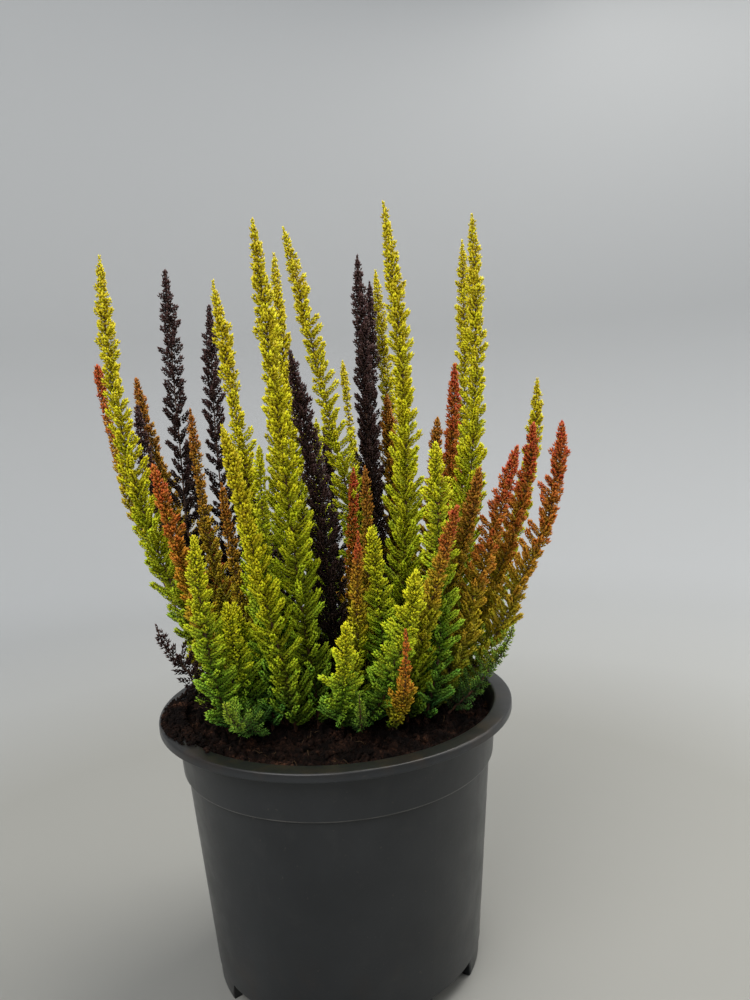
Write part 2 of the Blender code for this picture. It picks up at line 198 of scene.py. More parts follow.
# %% How a surface becomes an object
def made_object(name, surface, materials, face_slots=None, values=None):
    """Puts a surface into a mesh object at the origin, with point values as named attributes."""
    mesh = bpy.data.meshes.new(name)
    mesh.vertices.add(len(surface.points))
    mesh.vertices.foreach_set("co", surface.points.astype(np.float32).ravel())
    mesh.loops.add(len(surface.corners))
    mesh.loops.foreach_set("vertex_index", surface.corners.astype(np.int32))
    mesh.polygons.add(len(surface.sizes))
    mesh.polygons.foreach_set("loop_start", starts_of(surface.sizes).astype(np.int32))
    for material in materials:
        mesh.materials.append(material)
    if face_slots is not None:
        mesh.polygons.foreach_set("material_index", face_slots.astype(np.int32))
    mesh.update(calc_edges=True)
    flat_map = mesh.uv_layers.new(name="OFBake")
    flat_map.data.foreach_set("uv", surface.flat.astype(np.float32).ravel())
    for key, array in (values or {}).items():
        attribute = mesh.attributes.new(key, "FLOAT", "POINT")
        attribute.data.foreach_set("value", array.astype(np.float32))
    mesh.shade_smooth()
    assert not mesh.validate(), name
    obj = bpy.data.objects.new(name, mesh)
    bpy.context.scene.collection.objects.link(obj)
    return obj


def stands_for(piece, node):
    """Hides the solid that the piece replaces, and puts the piece on the root."""
    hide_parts(node)
    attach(piece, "root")


# %% Grids that close round, such as a turned pot or a stem
def wrapped_grid(points, bottom=None, top=None):
    """Rows that each close round, from points (rows, columns, 3), and end points to close them.

    The flat map runs round along its first direction and over the rows along its second.
    """
    rows, columns = points.shape[:2]
    row, column = np.indices((rows - 1, columns))[..., None]
    row, column = row + [0, 0, 1, 1], column + [0, 1, 1, 0]
    quads = row * columns + column % columns
    flat = np.stack([column / columns, row / (rows - 1)], axis=-1).reshape(-1, 2)
    parts = [Surface(points.reshape(-1, 3), quads.ravel(), np.full(quads.size // 4, 4), flat)]
    for end, first, order in ((bottom, 0, -1), (top, (rows - 1) * columns, 1)):
        if end is None:
            continue
        ring = first + np.arange(columns)
        pole = np.full(columns, rows * columns + len(parts) - 1)
        fan = np.stack([ring, np.roll(ring, -1), pole], axis=-1)[:, ::order]
        share = (np.arange(columns)[:, None] + [0, 1, 0.5]) / columns
        flat = np.stack([share, np.full(share.shape, float(first > 0))], axis=-1)[:, ::order]
        sizes = np.full(columns, 3)
        parts.append(Surface(np.array([end]), fan.ravel(), sizes, flat.reshape(-1, 2)))
    return joined(parts, count_on=False)


def tube(line, radii, sides):
    """Rings round a line: each of its points plus the radius times the ways round it."""
    tangents = unit(np.gradient(line, axis=0))
    across = square_to(tangents)
    beside = np.cross(tangents, across)
    spread = turned(across[:, None], beside[:, None], np.arange(sides) * tau / sides)
    rings = line[:, None] + spread * radii[:, None, None]
    return wrapped_grid(rings[1:-1], bottom=line[0], top=line[-1])


print("a short tube:", len(tube(np.outer(range(4), SKY), np.ones(4), 6).sizes), "faces")

# %% The same small shape set down many times
MAP_MARGIN = 0.06


def set_down(shape, places, axes):
    """Copies of a small shape: point = place + its own coordinates times three axis vectors.

    Each copy gets its own square of the flat map, inside a margin.
    """
    count = len(places)
    points = places[:, None] + np.einsum("pi,cij->cpj", shape.points, axes)
    corners = shape.corners + len(shape.points) * np.arange(count)[:, None]
    squares = max(1, ceil(sqrt(count)))
    square = np.stack([np.arange(count) % squares, np.arange(count) // squares], axis=-1)
    flat = (square[:, None] + MAP_MARGIN + (1 - 2 * MAP_MARGIN) * shape.flat) / squares
    sizes = np.tile(shape.sizes, count)
    return Surface(points.reshape(-1, 3), corners.ravel(), sizes, flat.reshape(-1, 2))


print(f"each copy's map has a margin of {MAP_MARGIN:.0%}")

# %% [markdown]
# ## Finishes from nodes
# A finish is a small network of shader nodes. One helper adds a node and fills its sockets, so
# that a finish reads from top to bottom. Colours are the 0 to 255 values of a paint chart.


# %% Helpers for nodes and colours
def paint(red, green, blue):
    """A display colour as light: the usual curve, near a power of 2.4."""
    shown = np.array([red, green, blue]) / 255
    linear = np.where(shown > 0.04045, ((shown + 0.055) / 1.055) ** 2.4, shown / 12.92)
    return (*linear.tolist(), 1)


def new_finish(name):
    material = bpy.data.materials.new(name)
    material.use_nodes = True
    return material, material.node_tree, material.node_tree.nodes["Principled BSDF"]


def filled(tree, node, sockets):
    """Fills a node's sockets with numbers or with other nodes' outputs."""
    for key, value in sockets.items():
        if isinstance(value, bpy.types.NodeSocket):
            tree.links.new(value, node.inputs[key])
        else:
            node.inputs[key].default_value = value
    return node


def add(tree, kind, sockets=None, **settings):
    node = tree.nodes.new("ShaderNode" + kind)
    for key, value in settings.items():
        setattr(node, key, value)
    return filled(tree, node, sockets or {})


print("middle grey as light:", round(paint(128, 128, 128)[0], 3))


# %% Steps that finishes are made of
def reckoned(tree, operation, *values):
    return add(tree, "Math", dict(enumerate(values)), operation=operation).outputs[0]


def scaled(tree, value, low, high, new_low, new_high):
    """A number carried from one range to another, and held inside it."""
    limits = {"From Min": low, "From Max": high, "To Min": new_low, "To Max": new_high}
    return add(tree, "MapRange", {"Value": value, **limits}).outputs["Result"]


def blended(tree, share, first, second):
    """The colour that mixes two colours by a share."""
    node = add(tree, "Mix", data_type="RGBA")
    filled(tree, node, {0: share, 6: first, 7: second})
    return node.outputs[2]


def ramp(tree, share, stops):
    """A colour ramp from (place, colour) pairs."""
    node = add(tree, "ValToRGB", {"Fac": share})
    elements = node.color_ramp.elements
    while len(elements) < len(stops):
        elements.new(0.5)
    for element, (place, colour) in zip(elements, stops):
        element.position = place
        element.color = paint(*colour)
    return node.outputs["Color"]


def noise(tree, size, detail=4, stretch=(1, 1, 1), roughness=0.55):
    """Cloudy noise with patches of about this size, on the piece's own coordinates."""
    place = add(tree, "TexCoord").outputs["Object"]
    pressed = add(tree, "Mapping", {"Vector": place, "Scale": stretch}).outputs["Vector"]
    sockets = {"Vector": pressed, "Scale": 1 / size, "Detail": detail, "Roughness": roughness}
    return add(tree, "TexNoise", sockets).outputs["Fac"]


def bumps(tree, height, strength, distance):
    """The surface's direction as if a pattern stood this high on it."""
    sockets = {"Strength": strength, "Distance": distance, "Height": height}
    return add(tree, "Bump", sockets).outputs["Normal"]


# %% [markdown]
# ## The floor and the light
# A floor that turns up into a wall all round is pale and even from any side. Its grey is painted
# shade: darker on the floor near the pot, paler out to the wall and up it. It is not part of the
# plant.

# %% Floor and wall
FLOOR_MIDDLE = 0.3
FLOOR_RADIUS = 0.75
WALL_BEND = 0.45
WALL_TOP = 1.5
GREY_REACH = 1.2
# Greys by distance from the axis: painted shade, darker on the floor near the pot, paler up the
# wall.
FLOOR_SHADE_GREYS = [(0.25, (125, 125, 121)), (0.42, (140, 141, 140)), (0.75, (151, 153, 155))]
FLOOR_ROUGHNESS = 0.75

bend = np.linspace(0, pi / 2, 16)
curve = np.column_stack([FLOOR_RADIUS + WALL_BEND * np.sin(bend), WALL_BEND * (1 - np.cos(bend))])
flat_part = [(FLOOR_MIDDLE, 0), (FLOOR_RADIUS, 0)]
profile = np.concatenate([flat_part, curve[1:], [(FLOOR_RADIUS + WALL_BEND, WALL_TOP)]])
rings = around(profile[:, :1], profile[:, 1:], even_angles(96))

pale, tree, shader = new_finish("pale_floor")
place = add(tree, "TexCoord").outputs["Object"]
level = add(tree, "VectorMath", {0: place, 1: (1, 1, 0)}, operation="MULTIPLY").outputs[0]
distance = add(tree, "VectorMath", {0: level}, operation="LENGTH").outputs["Value"]
grey = ramp(tree, scaled(tree, distance, 0, GREY_REACH, 0, 1), FLOOR_SHADE_GREYS)
filled(tree, shader, {"Base Color": grey, "Roughness": FLOOR_ROUGHNESS})
floor = made_object("floor", wrapped_grid(rings, bottom=(0, 0, 0)), [pale])
print(f"floor {2 * FLOOR_RADIUS} m across, wall {WALL_TOP} m high")

# %% [markdown]
# The main light is like a window, high behind the plant on the right. A second one opens the
# shadows, and a small one draws the thin bright line down the pot's right side. All three are wide
# squares, for soft shadows.

# %% Three soft lamps and an even light from all round
ROOM_COLOUR, ROOM_STRENGTH = (226, 232, 238), 0.9
LIT_POINT = (0, 0, 0.2)
# Each lamp's place, the side of its square in metres, its power in watts, and its colour.
LAMPS = {
    "window_light": ((0.5, 0.4, 1.35), 0.9, 22, (255, 252, 246)),
    "room_light": ((-0.5, -0.75, 1.1), 0.9, 17, (252, 250, 248)),
    "side_light": ((0.75, -0.1, 0.4), 0.5, 2, (255, 252, 246)),
}

world = bpy.data.worlds.new("pale_room")
world.use_nodes = True
room = {"Color": paint(*ROOM_COLOUR), "Strength": ROOM_STRENGTH}
filled(world.node_tree, world.node_tree.nodes["Background"], room)
bpy.context.scene.world = world
bpy.context.scene.view_settings.view_transform = "Standard"

for name, (place, size, power, colour) in LAMPS.items():
    lamp = bpy.data.lights.new(name, "AREA")
    lamp.size, lamp.energy, lamp.color = size, power, paint(*colour)[:3]
    lamp_object = bpy.data.objects.new(name, lamp)
    away = unit(np.array(place) - LIT_POINT)
    side = unit(np.cross(SKY, away))
    set_in_scene(lamp_object, side, np.cross(away, side), away, place)
    lamp_object.visible_camera = False
print("lamps:", ", ".join(LAMPS))

# %% [markdown]
# ## The pot
# A nursery pot is moulded in one piece: a flat lip with a skirt, a collar band, a wall that tapers
# down, and a low foot ring with gaps that let water out. Its outline is drawn once as corners and
# carried round the axis. Each corner is a small curve, because moulded plastic has no sharp edges,
# and the thin bright line along the lip comes from its rounding. The bright line at the collar
# comes partly from its rounding and partly from a painted highlight in the finish.

# %% The pot's sizes, the same as the solid's
RIM_RADIUS = 85 * MM
POT_HEIGHT = 128 * MM
WALL = 1.8 * MM
LIP_FOOT = POT_HEIGHT - 3.8 * MM
COLLAR_RADIUS = 77.2 * MM
COLLAR_LOW_RADIUS = 75.3 * MM
COLLAR_FOOT = POT_HEIGHT - 25 * MM
WALL_TOP_RADIUS = 73.5 * MM
WALL_LOW_RADIUS = 65.5 * MM
FOOT_HEIGHT = 8.5 * MM
FOOT_RADIUS = 64.6 * MM
FOOT_INNER_RADIUS = FOOT_RADIUS - 4 * MM
FOOT_COUNT = 4
GAP_HALF_ANGLE = radians(13)
GAP_HEIGHT = 8.2 * MM
DRAIN_RADIUS = 4 * MM
DRAIN_RING_RADIUS = 52 * MM

# Radius, height and rounding, in mm, of each corner from the floor's inside to its underside.
POT_CORNERS = np.array(
    [
        (FOOT_RADIUS - WALL, FOOT_HEIGHT + WALL, 1.5),
        (WALL_TOP_RADIUS - WALL, COLLAR_FOOT, 0.5),
        (COLLAR_LOW_RADIUS - WALL, COLLAR_FOOT + WALL, 0.5),
        (COLLAR_RADIUS - WALL, LIP_FOOT, 1),
        (COLLAR_RADIUS - 0.2 * MM, POT_HEIGHT, 1),
        (RIM_RADIUS, POT_HEIGHT, 1.1),
        (RIM_RADIUS, LIP_FOOT, 0.5),
        (RIM_RADIUS - WALL, LIP_FOOT, 0.4),
        (RIM_RADIUS - WALL, POT_HEIGHT - WALL, 0.5),
        (COLLAR_RADIUS, POT_HEIGHT - WALL, 0.8),
        (COLLAR_LOW_RADIUS, COLLAR_FOOT, 0.45),
        (WALL_TOP_RADIUS, COLLAR_FOOT - 0.6 * MM, 0.4),
        (WALL_LOW_RADIUS, FOOT_HEIGHT, 0.4),
        (FOOT_RADIUS, FOOT_HEIGHT - 0.2 * MM, 0.3),
        (FOOT_RADIUS, 0, 0.7),
        (FOOT_INNER_RADIUS, 0, 0.7),
        (FOOT_INNER_RADIUS, FOOT_HEIGHT, 0.5),
    ]
)
print(f"the pot's outline has {len(POT_CORNERS)} corners")

# %% The turned form, with gaps in its foot ring
ROUNDING_STEPS = 5
ANGLE_STEP = radians(2.5)
GAP_CLEARANCE = radians(0.6)
GAP_EDGE = radians(0.12)
GAP_MIDDLES = tau * (np.arange(FOOT_COUNT) + 0.5) / FOOT_COUNT


def rounded(corners):
    """Each corner c becomes the curve (1-t)^2 a + 2t(1-t) c + t^2 b.

    a and b are the points at the rounding's distance before and after the corner.
    """
    places, reach = corners[:, :2], MM * corners[:, 2:]
    before = np.roll(places, 1, axis=0) - places
    after = np.roll(places, -1, axis=0) - places
    before[0], after[-1] = (-1, 0), (-1, 0)
    a, b = places + unit(before) * reach, places + unit(after) * reach
    t = np.linspace(0, 1, ROUNDING_STEPS)[None, :, None]
    curve = (1 - t) ** 2 * a[:, None] + 2 * t * (1 - t) * places[:, None] + t**2 * b[:, None]
    return curve.reshape(-1, 2)


def pot_angles():
    """Even angles, with a close pair at each side of each gap in the foot."""
    even = np.arange(0, tau, ANGLE_STEP)
    sides = (GAP_MIDDLES[:, None] + [-GAP_HALF_ANGLE, GAP_HALF_ANGLE]).ravel()
    clear = abs(even[:, None] - sides).min(axis=1) > GAP_CLEARANCE
    return np.sort(np.concatenate([even[clear], sides - GAP_EDGE, sides + GAP_EDGE]))


def pot_surface():
    """The profile carried round the axis; at each gap the foot ring rises to the gap's top."""
    profile, angles = rounded(POT_CORNERS), pot_angles()
    radius, height = profile[:, :1], profile[:, 1:]
    quarter = tau / FOOT_COUNT
    in_gap = abs(angles % quarter - quarter / 2) < GAP_HALF_ANGLE
    outside = np.arange(len(profile))[:, None] > len(profile) // 2
    foot = outside & (radius > FOOT_INNER_RADIUS - MM) & (height < GAP_HEIGHT)
    rings = around(radius, np.where(foot & in_gap, GAP_HEIGHT, height), angles)
    return wrapped_grid(rings, (0, 0, FOOT_HEIGHT + WALL), (0, 0, FOOT_HEIGHT))


pot_form = outward(pot_surface())
print(f"pot: {len(pot_form.points)} points, {volume_of(pot_form) * 1e6:.0f} ml of plastic")

# %% [markdown]
# ## The pot's plastic
# Dark grey plastic with a satin skin: dust dulls it in patches, pale grains stick to it, and wet
# soil leaves brown smears near the lip and low on the wall. The lip's top is painted darker, a
# painted shade, and a pale painted highlight runs along the collar's lower edge. Each mark is one
# more colour laid over two near greys.

# %% Satin dark plastic with dust, grains, mud, painted shade on the lip and a painted highlight
PLASTIC, PALER_PLASTIC = (33, 35, 37), (40, 42, 44)
# The last of these three colours is a painted highlight along the collar's lower edge.
DUST, GRAIN, HIGHLIGHT_COLOUR = (90, 88, 84), (92, 84, 74), (104, 102, 98)
# The first of these colours is painted shade for the lip's top; the second is brown mud.
LIP_SHADE_COLOUR, MUD = (17, 16, 15), (50, 40, 31)
CLOUD_SIZE, PATCH_NOISE_SIZE, SMEAR_SIZE, GRAIN_SIZE = 30 * MM, 12 * MM, 14 * MM, 1.6 * MM
LIP_SHADE_DEPTH, MUD_DEPTH = 2.5 * MM, 9 * MM
MUD_FOOT, MUD_TOP = 14 * MM, 46 * MM
HIGHLIGHT_HALF_WIDTH = 0.5 * MM
GRAIN_HEIGHT = 0.12 * MM


def pot_finish():
    """One mark after another laid over the plastic, by its share from noise or height."""
    finish, tree, shader = new_finish("satin_pot_plastic")
    place = add(tree, "TexCoord").outputs["Object"]
    height = add(tree, "SeparateXYZ", {"Vector": place}).outputs["Z"]
    cloud = noise(tree, CLOUD_SIZE, detail=5)
    speckle = noise(tree, GRAIN_SIZE, detail=3)
    patch_noise = noise(tree, PATCH_NOISE_SIZE, detail=6)
    cloudy = scaled(tree, cloud, 0.35, 0.7, 0, 1)
    dust = scaled(tree, patch_noise, 0.55, 0.85, 0, 0.12)
    grains = scaled(tree, speckle, 0.68, 0.76, 0, 0.35)
    # Painted shade: the top of the lip is painted darker.
    lip_top_shade = scaled(tree, height, POT_HEIGHT - LIP_SHADE_DEPTH, POT_HEIGHT - 0.5 * MM, 0, 0.75)
    near_lip = scaled(tree, height, POT_HEIGHT - MUD_DEPTH, POT_HEIGHT, 0, 1)
    near_foot = scaled(tree, height, MUD_FOOT, MUD_TOP, 0.55, 0)
    smears = scaled(tree, noise(tree, SMEAR_SIZE, detail=6), 0.52, 0.72, 0, 0.7)
    mud = reckoned(tree, "MULTIPLY", smears, reckoned(tree, "MAXIMUM", near_lip, near_foot))
    # Painted highlight: a pale line along the collar's lower edge, patchy by noise.
    edge = reckoned(tree, "COMPARE", height, COLLAR_FOOT, HIGHLIGHT_HALF_WIDTH)
    collar_highlight = reckoned(tree, "MULTIPLY", edge, scaled(tree, patch_noise, 0.3, 0.6, 0.15, 0.6))
    colour = paint(*PLASTIC)
    marks = [(cloudy, PALER_PLASTIC), (dust, DUST), (grains, GRAIN)]
    for share, mark in marks + [(lip_top_shade, LIP_SHADE_COLOUR), (mud, MUD), (collar_highlight, HIGHLIGHT_COLOUR)]:
        colour = blended(tree, share, colour, paint(*mark))
    sockets = {
        "Base Color": colour,
        "Roughness": scaled(tree, patch_noise, 0.3, 0.75, 0.3, 0.42),
        "Normal": bumps(tree, speckle, 0.25, GRAIN_HEIGHT),
        "Specular IOR Level": 0.36,
    }
    filled(tree, shader, sockets)
    return finish


# %% The pot object, with its drain holes cut
def drain_cutter():
    """Four round pins, taller than the floor is thick, beside the gaps in the foot."""
    circle = around(DRAIN_RADIUS, 0, even_angles(24))
    heights = np.array([[FOOT_HEIGHT - 2 * WALL], [FOOT_HEIGHT + 3 * WALL]])
    pins = []
    for middle in GAP_MIDDLES:
        ends = around(DRAIN_RING_RADIUS, 0, middle) + SKY * heights
        pins.append(outward(wrapped_grid(circle + ends[:, None], bottom=ends[0], top=ends[1])))
    return made_object("drain_cutter", joined(pins), [])


def cut_away(obj, cutter):
    """Cuts one object from another for good, and removes the cutter."""
    cut = obj.modifiers.new("cut", "BOOLEAN")
    cut.operation, cut.solver, cut.object = "DIFFERENCE", "EXACT", cutter
    graph = bpy.context.evaluated_depsgraph_get()
    mesh = bpy.data.meshes.new_from_object(obj.evaluated_get(graph))
    obj.modifiers.clear()
    obj.data = mesh
    bpy.data.objects.remove(cutter, do_unlink=True)


pot = made_object("nursery_pot", pot_form, [pot_finish()])
cut_away(pot, drain_cutter())
stands_for(pot, "pot")
print(f"nursery_pot: {len(pot.data.polygons)} faces")

# %% [markdown]
# ## The soil
# Peat is a heap of crumbs and fibres. The body is one closed form: its top follows the same rule
# as the solid's soil, with finer lumps added, and its side follows the pot's wall. Then come loose
# crumbs, each a rough ball of twenty faces, and a few pale root and moss fibres.

# %% The height of the soil
SOIL_TOP = 121 * MM
SOIL_BACK_RISE = 2.6 * MM
SOIL_LEFT_RISE = 3 * MM
SOIL_CROWN_RISE = 2 * MM
SOIL_CROWN_RADIUS = 45 * MM
SOIL_LUMP_HEIGHT = 0.7 * MM
SOIL_LUMP_SIZE = 4 * MM
SOIL_EDGE = COLLAR_RADIUS - WALL - 0.9 * MM
BANK_HEIGHT = 2.6 * MM
BANK_START = 50 * MM
WAVE_COUNT = 12
# Height, size and seed of the lumps: clods first, then two sizes of grit.
SOIL_LUMPS = [(1 * MM, 11 * MM, 3), (0.8 * MM, 4.5 * MM, 4), (0.5 * MM, 2.4 * MM, 5)]


def waves(x, y, size, seed):
    """Soft random lumps: twelve sine waves in random directions, added up."""
    chance = np.random.default_rng(seed)
    angle, shift = chance.uniform(0, tau, (2, WAVE_COUNT))
    pace = tau / size * chance.uniform(0.6, 1.5, WAVE_COUNT)
    phase = x[..., None] * np.cos(angle) * pace + y[..., None] * np.sin(angle) * pace + shift
    return np.sin(phase).sum(axis=-1) / sqrt(WAVE_COUNT)


def soil_height(x, y):
    """A low bell-shaped mound at the crown, an even slope, and two sizes of sine lumps."""
    crown = SOIL_CROWN_RISE * np.exp(-(x**2 + y**2) / SOIL_CROWN_RADIUS**2)
    slope = (SOIL_BACK_RISE * y - SOIL_LEFT_RISE * x) / RIM_RADIUS
    across, back = x / SOIL_LUMP_SIZE, y / SOIL_LUMP_SIZE
    lumps = np.sin(across + 1.3) * np.sin(1.1 * back + 0.4)
    lumps = lumps + 0.6 * np.sin(0.6 * (across + back)) * np.sin(0.4 * across - 0.8 * back + 2)
    return SOIL_TOP + crown + slope + SOIL_LUMP_HEIGHT * lumps


def left_bank(x, y):
    """From 0 to 1 towards the wall at the left and front left, where the soil is heaped up."""
    radius = np.hypot(x, y)
    turned_left = np.clip(-(x + 0.35 * y) / np.maximum(radius, MM), 0, 1)
    return turned_left**1.5 * np.clip((radius - BANK_START) / (SOIL_EDGE - BANK_START), 0, 1)


def on_soil(x, y, lift=0):
    """Points a lift above the soil: its plain height, the bank and all the random lumps."""
    height = soil_height(x, y) + BANK_HEIGHT * left_bank(x, y)
    for rise, size, seed in SOIL_LUMPS:
        height = height + rise * waves(x, y, size, seed)
    return np.stack([x, y, height + lift], axis=-1)


middle = np.zeros(1)
soil_peak = on_soil(middle, middle)[0]
print(f"the soil's middle is {(POT_HEIGHT - soil_peak[2]) / MM:.1f} mm under the lip")

# %% The soil's closed body
SOIL_RINGS, SOIL_COLUMNS = 90, 300
SIDE_GAP = WALL + 0.6 * MM


def soil_body():
    """Three rings up the side, then rings of equal area from the top's edge to its middle."""
    angles = even_angles(SOIL_COLUMNS)
    radii = SOIL_EDGE * np.sqrt(np.linspace(1, (1 / SOIL_RINGS) ** 2, SOIL_RINGS))
    wall_radii = np.array([[FOOT_RADIUS], [WALL_TOP_RADIUS], [COLLAR_LOW_RADIUS]])
    heights = [[FOOT_HEIGHT + WALL], [COLLAR_FOOT], [COLLAR_FOOT + 2 * WALL]]
    side = around(wall_radii - SIDE_GAP, heights, angles)
    level = around(radii[:, None], 0, angles)
    rings = np.concatenate([side, on_soil(level[..., 0], level[..., 1])])
    return outward(wrapped_grid(rings, (0, 0, FOOT_HEIGHT + WALL), soil_peak))


soil_form = soil_body()
print(f"soil body: {len(soil_form.sizes)} faces")


# %% One crumb, and how crumbs are turned
def rough_ball():
    """The golden ratio's twelve corners, and the twenty trios of them that stand two apart."""
    golden = (1 + sqrt(5)) / 2
    signs = np.array([(0, a, b * golden) for a in (-1, 1) for b in (-1, 1)])
    points = np.concatenate([np.roll(signs, k, axis=1) for k in range(3)])
    trios = np.array(list(combinations(range(12), 3)))
    sides = np.linalg.norm(points[trios] - np.roll(points[trios], 1, axis=1), axis=2)
    faces = trios[(sides < 2.1).all(axis=1)]
    inwards = np.linalg.det(points[faces]) < 0
    faces[inwards] = faces[inwards][:, ::-1]
    flat = np.tile([(0.1, 0.1), (0.9, 0.1), (0.5, 0.9)], (len(faces), 1))
    points = points / hypot(1, golden)
    return Surface(points, faces.ravel(), np.full(len(faces), 3), flat)


def random_axes(chance, count, sizes):
    """Three directions square to each other, turned at random, times each crumb's sizes."""
    axes, _ = np.linalg.qr(chance.normal(size=(count, 3, 3)))
    axes *= np.sign(np.linalg.det(axes))[:, None, None]
    return axes * sizes[:, :, None]


print("a crumb has", len(rough_ball().sizes), "faces")

# %% Crumbs on the soil and on the lip
SOIL_CRUMBS, LIP_CRUMBS = 3600, 1300
FLATTEST_CRUMB, FULLEST_CRUMB = [0.6, 0.6, 0.45], [1.4, 1.1, 0.9]
HEAP_MIDDLE = radians(194)
HEAP_SPREAD = radians(15)
HEAP_START = 73.5 * MM
HEAP_WIDTH = RIM_RADIUS - 75 * MM
HEAP_HEIGHT = 2.2 * MM


def soil_crumbs(chance, count):
    """Crumbs all over the soil, a few of them large, and denser towards the wall."""
    radius = SOIL_EDGE * chance.uniform(0, 0.97, count) ** 0.42
    angle = chance.uniform(0, tau, count)
    size = MM * (0.5 + 1.5 * chance.random(count) ** 4)
    return on_soil(radius * np.cos(angle), radius * np.sin(angle), 0.25 * size), size


def lip_crumbs(chance, count):
    """Crumbs spilled on the lip: a heap at its inner edge that thins outwards."""
    outwards = chance.random(count) ** 1.3
    aside = chance.normal(0, 0.8, count)
    radius = HEAP_START + HEAP_WIDTH * outwards * np.exp(-0.1 * aside**2)
    size = MM * (0.35 + 1.1 * chance.random(count) ** 2)
    depth = np.exp(-(aside**2)) * (1 - outwards**2) * chance.random(count)
    height = POT_HEIGHT + 0.3 * size + HEAP_HEIGHT * depth
    return around(radius, height, HEAP_MIDDLE + HEAP_SPREAD * aside), size


def crumbs():
    chance = np.random.default_rng(11)
    places, sizes = zip(soil_crumbs(chance, SOIL_CRUMBS), lip_crumbs(chance, LIP_CRUMBS))
    places, size = np.concatenate(places), np.concatenate(sizes)
    shapes = size[:, None] * chance.uniform(FLATTEST_CRUMB, FULLEST_CRUMB, (len(size), 3))
    return set_down(rough_ball(), places, random_axes(chance, len(size), shapes))


crumb_form = crumbs()
print(f"crumbs: {SOIL_CRUMBS} on the soil and {LIP_CRUMBS} on the lip")

# %% Fibres
FIBRE_COUNT = 70
FIBRE_RADIUS = 0.12 * MM


def fibres():
    """Short curved threads: flat arcs that start anywhere and keep just above the soil."""
    chance = np.random.default_rng(12)
    share = np.linspace(0, 1, 7)
    threads = []
    for _ in range(FIBRE_COUNT):
        radius, angle, heading = chance.uniform([10 * MM, 0, 0], [70 * MM, tau, tau])
        length, curl = chance.uniform([3 * MM, -2.2], [9 * MM, 2.2])
        way = heading + curl * share
        x = radius * cos(angle) + length * np.cumsum(np.cos(way)) / len(share)
        y = radius * sin(angle) + length * np.cumsum(np.sin(way)) / len(share)
        line = on_soil(x, y, MM * (0.3 + 0.9 * np.sin(pi * share)))
        threads.append(tube(line, np.full(len(line), FIBRE_RADIUS), 4))
    return joined(threads)


fibre_form = fibres()
print(f"{FIBRE_COUNT} fibres, {len(fibre_form.sizes)} faces")

# %% Dark peat, and the pale fibres in it
PEAT = [(0, (4, 1, 1)), (0.4, (12, 6, 4)), (0.72, (33, 19, 13)), (1, (78, 52, 37))]
STRAW = [(0, (52, 38, 27)), (1, (104, 82, 58))]
MATT = 0.12


def soil_finish(name, stops, patch, roughness):
    """Earth colours spread by fine and coarse noise, with bumps from the fine noise."""
    finish, tree, shader = new_finish(name)
    fine = noise(tree, patch, detail=8, roughness=0.7)
    coarse = noise(tree, 7 * patch, detail=3)
    share = scaled(tree, reckoned(tree, "ADD", fine, coarse), 0.7, 1.3, 0, 1)
    sockets = {
        "Base Color": ramp(tree, share, stops),
        "Normal": bumps(tree, fine, 1, 0.6 * MM),
        "Roughness": roughness,
        "Specular IOR Level": MATT,
    }
    filled(tree, shader, sockets)
    return finish


earths = [
    soil_finish("crumbly_peat", PEAT, 1.3 * MM, 0.95),
    soil_finish("pale_fibre", STRAW, 2 * MM, 0.8),
]
surfaces = [soil_form, crumb_form, fibre_form]
slots = np.repeat([0, 0, 1], [len(s.sizes) for s in surfaces])
soil = made_object("peat_soil", on_strips(surfaces, [0, 0.45, 0.9, 1]), earths, slots)
soil.data.shade_flat()
stands_for(soil, "soil")
print(f"peat_soil: {len(soil.data.polygons)} faces")

# %% [markdown]
# ## How a heather shoot is built
# A heather shoot is a thin woody stem with short side sprigs in opposite pairs, each pair turned
# a quarter from the one below, and every sprig carries tiny leaves in the same way. Particles
# could scatter leaves, but they would not know this order, so the rule itself places them. The
# solid says where each shoot stands: a smooth middle line is fitted through its corners, and their
# distance from that line gives the reach of the leaves.

# %% The middle line and the reach of a solid shoot
LINE_STEPS = 26
STIFFNESS = 2


def corner_points(node):
    mesh = frame["nodes"][node].data
    points = np.empty(3 * len(mesh.vertices))
    mesh.vertices.foreach_get("co", points)
    return np.unique(points.reshape(-1, 3).round(6), axis=0)


def middle_line(points):
    """Least squares through the corners at even heights, with a penalty on changes of slope.

    Each corner is shared between the two heights next to it by its distance from them.
    """
    heights = np.linspace(points[:, 2].min(), points[:, 2].max(), LINE_STEPS)
    weights = np.clip(1 - abs(points[:, 2:] - heights) / (heights[1] - heights[0]), 0, None)
    bend = STIFFNESS * np.diff(np.eye(LINE_STEPS), n=2, axis=0)
    wanted = np.concatenate([points[:, :2], np.zeros((LINE_STEPS - 2, 2))])
    middle = np.linalg.lstsq(np.concatenate([weights, bend]), wanted, rcond=None)[0]
    return np.column_stack([middle, heights])


def leaf_reach(points, line):
    """The greatest distance of the corners near each step of the line, evened out."""
    apart = np.linalg.norm(points[:, None] - line, axis=2)
    nearest = np.where(points[:, 2] < line[-1, 2], apart.min(axis=1), 0)
    reach = np.zeros(len(line))
    np.maximum.at(reach, apart.argmin(axis=1), nearest)
    reach = np.maximum(reach, 0.5 * (np.roll(reach, 1) + np.roll(reach, -1)))
    return np.convolve(np.pad(reach, 1, mode="edge"), [0.25, 0.5, 0.25], mode="valid")


lines = {node: middle_line(corner_points(node)) for node in shoot_nodes}
print(f"{len(lines)} stems of {LINE_STEPS} points")

# %% [markdown]
# ## Habits
# The colours of heather grow differently. The golden and green ones are dense and soft, and bushy
# at the front. The red ones have plump buds; some are slim, and one is bare low down. The dark ones
# are open, dense or a loose spray. The lowest green ones are thin sprays with leaves like needles.
# A habit holds all their distances and angles.

